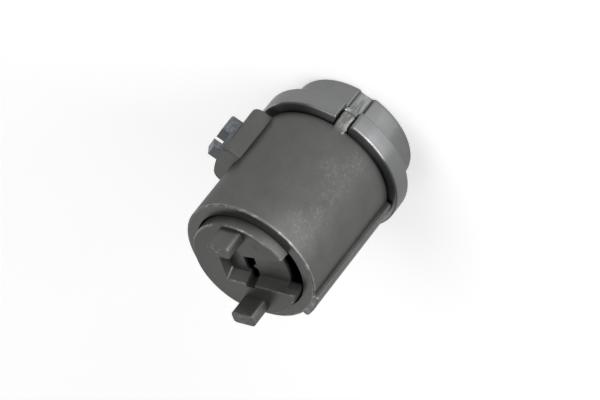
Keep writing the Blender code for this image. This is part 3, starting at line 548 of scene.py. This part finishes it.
# %% Sizes of the housing
SHOULDER = 12.1
NECK = 11.6
NECK_FRONT = 4.4
BARREL_BORE = 8.6
BORE_FLOOR = 33.0
BOSS_ANGLE = 147.0
BOSS_HALF = 5.5
BOSS_CORNER = 2.0
BOSS_FRONT = 12.7
BOSS_REAR = 25.4
BOSS_FRONT_REACH = 18.7
BOSS_REAR_REACH = 18.4
BOSS_SECTOR = 40.0
RAIL_START = -50.5
RAIL_END = -23.5
RAIL_ROUND = 0.45
# One round for each corner of a column, in the order of its rows
HOUSING_ROUNDS = [0.2, 0.18, 0.30, 0.25, 0.30, 0.40, 0.2, 0.30, 0.2, 0.2, 0.2, 0.2]
print("boss length, mm:", round(BOSS_REAR - BOSS_FRONT, 1))


# %% Outline of the boss and the rail
def boss_reach(angles, outer):
    """Return the distance from the axis to the outline of the boss along each ray.

    Near its middle the boss ends at the arc of radius outer about the axis. The corner is a circle
    about (depth, side), and the flat side is the line at BOSS_HALF.
    """
    away = np.abs((angles - BOSS_ANGLE + 180.0) % 360.0 - 180.0)
    ray = np.radians(np.minimum(away, BOSS_SECTOR))
    side = BOSS_HALF - BOSS_CORNER
    depth = math.sqrt((outer - BOSS_CORNER) ** 2 - side**2)
    lean = math.atan2(side, depth)
    along = depth * np.cos(ray) + side * np.sin(ray)
    off = depth * np.sin(ray) - side * np.cos(ray)
    on_corner = along + np.sqrt(np.maximum(BOSS_CORNER**2 - off**2, 0.0))
    foot = math.atan2(BOSS_HALF, depth)
    on_side = BOSS_HALF / np.maximum(np.sin(ray), 1e-6)
    reach = np.where(ray <= lean, outer, np.where(ray < foot, on_corner, on_side))
    return np.maximum(np.where(away < BOSS_SECTOR, reach, 0.0), BARREL)


def rail_reach(angles):
    """Return the radius of the barrel with its rail.

    At a distance s inside the rail's edge, the rise is h - c + c sqrt(1 - (1 - s / c)^2), where h is
    the rail's height and c the radius of the quarter circle along which its edge rises.
    """
    inside = np.minimum(angles - RAIL_START, RAIL_END - angles) * math.pi / 180.0 * BARREL
    bend = np.clip(inside / RAIL_ROUND, 0.0, 1.0)
    edge = (RAIL_HEIGHT - RAIL_ROUND) + RAIL_ROUND * np.sqrt(1.0 - (1.0 - bend) ** 2)
    return BARREL + np.where(inside >= 0.0, edge, 0.0)


# %% Columns round the housing
EVEN_STEP = 1.5
FINE_FROM = 11.0
FINE_COUNT = 24
PAST_FOOT = 0.15
# Degrees inside each edge of the rail at which more columns stand
near_rail = np.array([-0.02, 0.0, 0.1, 0.3, 0.6, 1.0, 1.5, 2.0])

even = np.arange(-180.0, 180.0, EVEN_STEP)
foot_angle = math.degrees(math.asin(BOSS_HALF / BARREL))
near_boss = np.concatenate([np.linspace(FINE_FROM, foot_angle, FINE_COUNT), [foot_angle + PAST_FOOT]])
columns = np.concatenate(
    [even, BOSS_ANGLE + near_boss, BOSS_ANGLE - near_boss, RAIL_START + near_rail, RAIL_END - near_rail]
)
columns = np.unique(np.round((columns + 180.0) % 360.0 - 180.0, 3))
print("columns round the housing:", len(columns))


# %% Housing surface
def housing_profile(angles):
    """Return the rounded columns, from the floor of the rear bore outwards and forwards."""
    barrel = rail_reach(angles)
    back = np.maximum(boss_reach(angles, BOSS_REAR_REACH), barrel)
    front = np.maximum(boss_reach(angles, BOSS_FRONT_REACH), barrel)
    rows = [
        (REAR_BORE, BORE_FLOOR),
        (REAR_BORE, HOUSING_REAR),
        (barrel, HOUSING_REAR),
        (barrel, BOSS_REAR),
        (back, BOSS_REAR),
        (front, BOSS_FRONT),
        (barrel, BOSS_FRONT),
        (barrel, SHOULDER),
        (NECK, SHOULDER),
        (NECK, NECK_FRONT),
        (BARREL_BORE, NECK_FRONT),
        (BARREL_BORE, BORE_FLOOR),
    ]
    return rounded_profile(rows, len(angles), HOUSING_ROUNDS)


housing_turn = np.radians(columns)[:, None]
housing_mesh = grid_mesh("housing_surface", ring_points(housing_turn, housing_profile(columns)))
print("housing faces before the cut:", len(housing_mesh.polygons))

# %% [markdown]
# The latch stands in a mouth cut in the boss. The mouth has flat, parallel walls, which a polar grid
# can't follow, so it is cut with a box that lies in the plane of the latch. A second, longer box below
# the outer wall leaves room for the two ears that stop the latch from falling out.

# %% Blocks and cuts
def radial_frame(angle):
    """Return the matrix that takes X to the radius at an angle, Y to the axis and Z across."""
    turn = math.radians(angle)
    outward = Vector((math.cos(turn), math.sin(turn), 0.0))
    axis = Vector((0.0, 0.0, 1.0))
    return Matrix((outward, axis, outward.cross(axis))).transposed().to_4x4()


def block_mesh(name, low, high, placing):
    """Make a box between two corners, in millimetres, and place it in the mesh."""
    build = bmesh.new()
    middle = [(a + b) / 2.0 * MM for a, b in zip(low, high)]
    size = [(b - a) * MM for a, b in zip(low, high)]
    matrix = placing @ Matrix.Translation(middle) @ Matrix.Diagonal((*size, 1.0))
    bmesh.ops.create_cube(build, size=1.0, matrix=matrix)
    mesh = bpy.data.meshes.new(name)
    build.to_mesh(mesh)
    build.free()
    return mesh


def applied(item):
    """Return a new mesh with the modifiers of an object applied."""
    graph = bpy.context.evaluated_depsgraph_get()
    mesh = bpy.data.meshes.new_from_object(item.evaluated_get(graph))
    bpy.data.objects.remove(item)
    return mesh


def cut_away(mesh, tool_mesh):
    """Subtract one closed mesh from another."""
    body = bpy.data.objects.new("body", mesh)
    tool = bpy.data.objects.new("tool", tool_mesh)
    for item in (body, tool):
        bpy.context.scene.collection.objects.link(item)
    step = body.modifiers.new("cut", "BOOLEAN")
    step.operation = "DIFFERENCE"
    step.solver = "EXACT"
    step.object = tool
    result = applied(body)
    bpy.data.objects.remove(tool)
    return result


# %% Latch mouth
# Corners in the plane of the latch: outwards, along the axis and across
MOUTH_LOW, MOUTH_HIGH = (10.9, 15.1, -2.2), (25.0, 24.4, 2.2)
EAR_ROOM_LOW, EAR_ROOM_HIGH = (10.8, 13.9, -2.2), (15.7, 24.9, 2.2)
mouth = block_mesh("mouth", MOUTH_LOW, MOUTH_HIGH, radial_frame(BOSS_ANGLE))
ear_room = block_mesh("ear_room", EAR_ROOM_LOW, EAR_ROOM_HIGH, radial_frame(BOSS_ANGLE))
housing_mesh = cut_away(cut_away(housing_mesh, mouth), ear_room)
print("housing faces after the cut:", len(housing_mesh.polygons))

# %% [markdown]
# The lug keys the cap. It is a rib on the shoulder of the housing that reaches into the groove of the cap,
# and years of handling have worn it round. A block whose edges are soft all over suits it better than a
# box with a bevel, and a shear lets its top fall until it runs out in the barrel.

# %% Soft block
def rounded_block(low, high, placing, steps=12, power=9.0):
    """Return grid points of a block with soft edges.

    A sphere direction d is pushed out to the superellipsoid |x|^p + |y|^p + |z|^p = 1, which is a
    cube with round edges when p is large, and then scaled to the block.
    """
    turn = np.linspace(-math.pi, math.pi, 4 * steps, endpoint=False)[:, None]
    rise = np.linspace(-math.pi / 2.0, math.pi / 2.0, 2 * steps + 1)[None, :]
    ball = np.stack([np.cos(turn) * np.cos(rise), np.sin(turn) * np.cos(rise), np.sin(rise) + 0 * turn], 2)
    size = (np.abs(ball) ** power).sum(axis=2, keepdims=True) ** (1.0 / power)
    middle = (np.array(low) + np.array(high)) / 2.0
    half = (np.array(high) - np.array(low)) / 2.0
    local = middle + ball / size * half
    matrix = np.array(placing)[:3, :3]
    return local @ matrix.T


def ball_mesh(name, points):
    """Make a mesh from points on a grid that closes round the first way and at both poles."""
    count, rows = points.shape[:2]
    index = np.arange(count * rows).reshape(count, rows)
    around = np.roll(index, -1, axis=0)
    quads = np.stack([index[:, :-1], around[:, :-1], around[:, 1:], index[:, 1:]], axis=2)
    return closed_mesh(name, points, quads)


def joined(name, *meshes):
    """Put several meshes into one."""
    build = bmesh.new()
    for mesh in meshes:
        build.from_mesh(mesh)
    result = bpy.data.meshes.new(name)
    build.to_mesh(result)
    build.free()
    return result


# %% Cap lug
LUG_LOW = (13.9, 8.36, -1.50)
LUG_HIGH = (18.9, 13.9, 1.50)
LUG_FALL = 0.30
fall = Matrix(((1, -LUG_FALL, 0, 0), (0, 1, 0, 0), (0, 0, 1, 0), (0, 0, 0, 1)))
lug = ball_mesh("lug", rounded_block(LUG_LOW, LUG_HIGH, radial_frame(GROOVE_ANGLE) @ fall))
housing_mesh = smooth(joined("housing_surface", housing_mesh, lug))
add_piece("housing_shell", housing_mesh, housing_zinc, "housing_body", "housing_casting", "housing")

# %% [markdown]
# Plated cap
#
# The cap is turned brass or zinc with a satin plating. Plating follows every scratch of the tool, so
# it shines in a band rather than a point: turning marks run round it, so its shader spreads light along
# the axis and keeps it narrow round the axis. It is much lighter than the casting behind it, and the
# groove that keys it is milled, so its floor is flat across.

# %% Satin plating
PLATE_DARK = (0.185, 0.188, 0.191)
PLATE_LIGHT = (0.300, 0.300, 0.300)
PLATE_DUST = (0.17, 0.17, 0.175)
GROOVE_RAW = (0.22, 0.225, 0.22)
GROOVE_BRIGHT = (0.50, 0.51, 0.50)
# Dark painted shade for the walls of the groove
GROOVE_WALL_SHADE = (0.05, 0.05, 0.052)
TURNING_MARKS = (0.25, 0.25, 6.0)
PLATE_SHINE = {"Anisotropic": 0.9, "Anisotropic Rotation": 0.25, "Specular Tint": (0.7, 0.7, 0.7, 1.0)}


def satin_plating():
    """Return the plating, with turning marks, dust, a raw, streaked groove floor and painted shade on the
    groove's walls.

    In the groove's own axes, along = x cos(a) + y sin(a) and across = y cos(a) - x sin(a).
    """
    plating = Finish("satin_plating")
    x, y = plating.axes()[:2]
    turn = math.radians(GROOVE_ANGLE)
    along = x * math.cos(turn) + y * math.sin(turn)
    across = plating.number(
        "ShaderNodeMath", {"operation": "ABSOLUTE"}, {0: y * math.cos(turn) - x * math.sin(turn)}
    )
    cloud = plating.noise(120.0, 3.0, 0.5)
    turning = plating.noise(400.0, 3.0, 0.6, TURNING_MARKS)
    dust = plating.ramp(plating.noise(1800.0, 3.0, 0.6), 0.60, 0.78)
    colour = plating.tint(cloud * 0.5 + (turning - 0.5) * 0.3, PLATE_DARK, PLATE_LIGHT)
    colour = plating.tint(dust * 0.25, colour, PLATE_DUST)
    outer_half = plating.rise(along, 5.0, 6.0)
    floor = outer_half * (1.0 - plating.rise(across, 0.80, 1.45))
    streaks = plating.ramp(plating.noise(1500.0, 3.0, 0.6, DRAWN_STREAK), 0.40, 0.62)
    colour = plating.tint(floor * 0.7, colour, GROOVE_RAW)
    colour = plating.tint(floor * streaks * 0.8, colour, GROOVE_BRIGHT)
    # Painted shade on the walls of the groove
    sides = outer_half * plating.rise(across, 1.05, 1.50) * (1.0 - plating.rise(across, 1.66, 1.95))
    colour = plating.tint(sides * 0.6, colour, GROOVE_WALL_SHADE)
    rough = 0.32 + (turning - 0.5) * 0.10 + dust * 0.12 + floor * 0.12
    height = turning + floor * streaks
    return plating.finish(
        colour, rough, metallic=1.0, height=height, bump=0.06, depth=0.00005, **PLATE_SHINE
    )


plate_finish = satin_plating()
print("plating:", plate_finish.name)

# %% Sizes of the cap
COLLAR = 17.0
TIER = 13.7
COLLAR_REAR = 11.6
COLLAR_FRONT = 7.1
CAP_BORE = 11.9
RIM_INNER = 10.2
DISH = 9.6
DISH_DEPTH = 0.6
FACE_BORE = 8.6
FACE_REAR = 2.4
SLOT_FRONT = 8.3
GROOVE_COLLAR_DEPTH = 1.1
GROOVE_TIER_DEPTH = 0.7
GROOVE_REACH = 2.15
CAP_RAYS = 236
# One round for each corner of a column, in the order of its rows
CAP_ROUNDS = [0.2, 0.60, 0.4, 0.3, 0.95, 0.3, 0.2, 0.15, 0.15, 0.2]
ROUND_STEPS = 7
# Distances from the middle of the groove, and the share of its depth that is cut there
groove_across = np.array([2.10, 1.95, 1.85, 1.76, 1.68, 1.62, 1.50, 1.3, 0.8, 0.4, 0.0])
groove_share = np.array([0.0, 0.05, 0.16, 0.32, 0.45, 0.62, 0.82, 0.96, 1.0, 1.0, 1.0])
print("collar across, mm:", 2.0 * COLLAR)


# %% Cap surface
def cap_points():
    """Return the grid of the cap.

    Outside the groove a column is a ray. Inside it a column is a line at a fixed distance w from the
    middle of the groove, so a point at radius r lies at the angle asin(w / r), and its radius is
    lowered by the groove's share of the depth.
    """
    across = np.concatenate([groove_across, -groove_across[:-1][::-1]])
    share = np.concatenate([groove_share, groove_share[:-1][::-1]])
    edge = math.degrees(math.asin(GROOVE_REACH / TIER))
    rays = GROOVE_ANGLE - np.linspace(edge, 360.0 - edge, CAP_RAYS)
    count = len(across) + len(rays)
    depth = np.concatenate([share, np.zeros(len(rays))])
    rear = np.where(depth > 0.5, SLOT_FRONT, COLLAR_REAR)
    collar = COLLAR - GROOVE_COLLAR_DEPTH * depth
    tier = TIER - GROOVE_TIER_DEPTH * depth
    rows = [
        (CAP_BORE, rear),
        (collar, rear),
        (collar, COLLAR_FRONT),
        (tier, COLLAR_FRONT),
        (tier, 0.0),
        (RIM_INNER, 0.0),
        (DISH, DISH_DEPTH),
        (FACE_BORE, DISH_DEPTH),
        (FACE_BORE, FACE_REAR),
        (CAP_BORE, FACE_REAR),
    ]
    profile = rounded_profile(rows, count, CAP_ROUNDS, ROUND_STEPS)
    radius = profile[..., 0]
    inside = np.radians(GROOVE_ANGLE) + np.arcsin(across[:, None] / radius[: len(across)])
    outside = np.radians(rays)[:, None] * np.ones_like(radius[len(across) :])
    return ring_points(np.concatenate([inside, outside]), profile)


cap_mesh = smooth(grid_mesh("cap_surface", cap_points()))
add_piece("cap_shell", cap_mesh, plate_finish, "housing_body", "cap_plating", "front_cap")

# %% [markdown]
# Rotor and latch
#
# The drive end of the rotor and the latch are made of flat faces, and the engineering model already
# has them. What a real casting has besides is a small round on every edge, which is where its
# highlights sit. A copy of the mesh is merged and its flat faces are joined, and a bevel rounds it.
# Only edges of a few degrees are shaded smooth, so that the flange looks round and each flat face
# stays flat.


# %% Rounded copies
MERGE_WITHIN = 0.004
FLAT_WITHIN = 0.6
EDGE_ANGLE = 30.0
ROUND_SEGMENTS = 3
SHADED_FLAT_FROM = 12.0


def merged_mesh(node, merge_within):
    """Return a node's mesh for editing, with points at the same place made one."""
    build = bmesh.new()
    build.from_mesh(frame["nodes"][node].data)
    bmesh.ops.remove_doubles(build, verts=build.verts, dist=merge_within * MM)
    return build


def rounded_copy(node, width):
    """Return a copy of a node's mesh with its flat faces joined and its edges rounded."""
    build = merged_mesh(node, MERGE_WITHIN)
    flat = math.radians(FLAT_WITHIN)
    bmesh.ops.dissolve_limit(build, angle_limit=flat, verts=build.verts, edges=build.edges)
    mesh = bpy.data.meshes.new(node + "_rounded")
    build.to_mesh(mesh)
    build.free()
    item = bpy.data.objects.new(node + "_rounded", mesh)
    bpy.context.scene.collection.objects.link(item)
    bevel = item.modifiers.new("round", "BEVEL")
    bevel.width = width * MM
    bevel.segments = ROUND_SEGMENTS
    bevel.limit_method = "ANGLE"
    bevel.angle_limit = math.radians(EDGE_ANGLE)
    return smooth(applied(item), SHADED_FLAT_FROM)


# %% Rotor
ROTOR_ROUND = 0.14
rotor_mesh = rounded_copy("rotor", ROTOR_ROUND)
add_piece("rotor_shell", rotor_mesh, rotor_zinc, "rotor_body", "rotor_casting", "rotor")

# %% [markdown]
# The latch is a steel block that was galvanised, so it is bluer and a little lighter than the
# castings. Zinc freezes on steel in small grains with their own shades. A Voronoi texture has cells
# like those grains, and a noise breaks them up.


# %% Galvanised steel
ZINC_DARK = (0.090, 0.098, 0.102)
ZINC_LIGHT = (0.165, 0.180, 0.188)
ZINC_GRAIN = (0.125, 0.125, 0.14)
GRAIN_SCALE = 2200.0


def galvanised_steel():
    """Return steel with a spotted coat of zinc."""
    galvanised = Finish("galvanised")
    sockets = {"Vector": galvanised.place, "Scale": GRAIN_SCALE}
    cells = galvanised.number("ShaderNodeTexVoronoi", {"feature": "F1"}, sockets)
    spots = galvanised.ramp(galvanised.noise(2000.0, 4.0, 0.7), 0.40, 0.64)
    colour = galvanised.tint(spots, ZINC_DARK, ZINC_LIGHT)
    colour = galvanised.tint(galvanised.ramp(cells, 0.35, 0.9) * 0.4, colour, ZINC_GRAIN)
    rough = 0.42 + spots * 0.1
    height = cells + spots
    return galvanised.finish(colour, rough, metallic=0.85, height=height, bump=0.25, depth=0.0001)


# %% Latch
LATCH_ROUND = 0.16
latch_mesh = rounded_copy("locking_latch", LATCH_ROUND)
latch_steel = galvanised_steel()
add_piece("latch_block", latch_mesh, latch_steel, "latch_body", "galvanised_steel", "locking_latch")

# %% [markdown]
# Small pieces
#
# The face cup, the flap, the springs and the wafers keep their engineering shapes. They are pressed
# steel, drawn wire and stamped brass, and each gets the finish of its own making.


# %% Small finishes
def pressed_metal(name, colour, roughness, scale):
    """Return a pressed or drawn metal with a faint grain and a little soiling."""
    metal = Finish(name)
    grain = metal.noise(scale, 3.0, 0.6)
    soil = metal.ramp(metal.noise(scale * 0.2, 3.0, 0.6), 0.45, 0.75)
    soiled = tuple(part * 0.75 for part in colour)
    mixed = metal.tint(soil * 0.6, colour, soiled)
    rough = roughness + (grain - 0.5) * 0.15
    return metal.finish(mixed, rough, metallic=1.0, height=grain, bump=0.08, depth=0.00004)


small_finishes = {
    "pressed_steel": pressed_metal("pressed_steel", (0.42, 0.42, 0.43), 0.32, 1500.0),
    "spring_wire": pressed_metal("spring_wire", (0.45, 0.45, 0.46), 0.25, 3000.0),
    "wafer_brass": pressed_metal("wafer_brass", (0.55, 0.40, 0.17), 0.34, 1800.0),
}
slot_of = {entry["node"]: entry["material_slot"] for entry in frame["record"]["subparts"]}
for node, item in frame["nodes"].items():
    if slot_of[node] in small_finishes:
        item.data.materials.clear()
        item.data.materials.append(small_finishes[slot_of[node]])
print("small nodes finished:", sum(slot in small_finishes for slot in slot_of.values()))

# %% [markdown]
# Helical springs
#
# A helical spring shortens when its piece is pressed. Each spring that a joint lists as shortening is
# replaced by a smoothed copy of its engineering mesh, finished in spring wire.


# %% Helical springs
def helical_spring(node):
    """Replace a spring by a smoothed copy of its engineering mesh, finished in spring wire."""
    build = merged_mesh(node, DOUBLES_WITHIN)
    mesh = bpy.data.meshes.new(node + "_coil")
    build.to_mesh(mesh)
    build.free()
    coil = add_piece(node + "_coil", smooth(mesh), small_finishes["spring_wire"], None, slot_of[node], node)
    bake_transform(coil)


for joint in frame["record"]["behaviour"]["joints"]:
    for pressed in joint.get("deforming_nodes", []):
        if pressed["mode"].startswith("scale"):
            helical_spring(pressed["node"])
